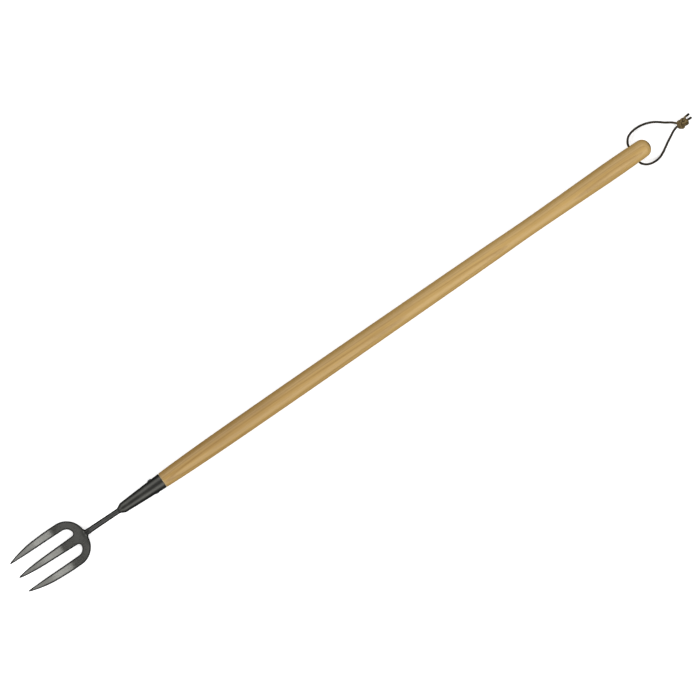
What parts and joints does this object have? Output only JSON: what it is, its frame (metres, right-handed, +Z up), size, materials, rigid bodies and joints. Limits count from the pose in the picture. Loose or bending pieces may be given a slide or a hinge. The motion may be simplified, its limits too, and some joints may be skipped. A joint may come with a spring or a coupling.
{
  "type": "long-handled hand fork",
  "caption": "Long-handled hand fork for borders and beds: flat upswept tines, a steel neck, a riveted steel socket, a round ash handle and a leather hanging lace.",
  "frame": {"origin": "under the middle of the tool, on the ground that it lies on face up; the lace is not counted", "axes": "+X along the handle from the tines to the butt, +Y across the head, +Z up, away from the ground"},
  "size_m": [1.3317, 0.0788, 0.032],
  "materials": {
    "head_steel": "dark graphite satin, brushed along the tines",
    "neck_steel": "dark satin, drawn lengthwise",
    "weld_steel": "dark, slightly rough weld",
    "socket_steel": "dark satin lacquer",
    "rivet_steel": "satin, hammered tail",
    "ash_wood": "smooth, lightly varnished, long grain",
    "lace_leather": "waxed round thong"
  },
  "bodies": {
    "tool": {"handle": "ash_wood", "socket": "socket_steel", "socket_rivet": "rivet_steel", "neck_rod": "neck_steel", "head_weld": "weld_steel", "socket_weld": "weld_steel", "fork_head": "head_steel"},
    "lace": {"lace_loop": "lace_leather", "lace_knot": "lace_leather", "lace_tail_left": "lace_leather", "lace_tail_right": "lace_leather"}
  },
  "joints": [
    {"name": "lace_swing", "type": "hinge", "parent": "tool", "child": "lace", "pos_m": [0.5943, 0, 0.016], "axis": [0, -1, 0], "range_deg": [-150, 160]}
  ]
}
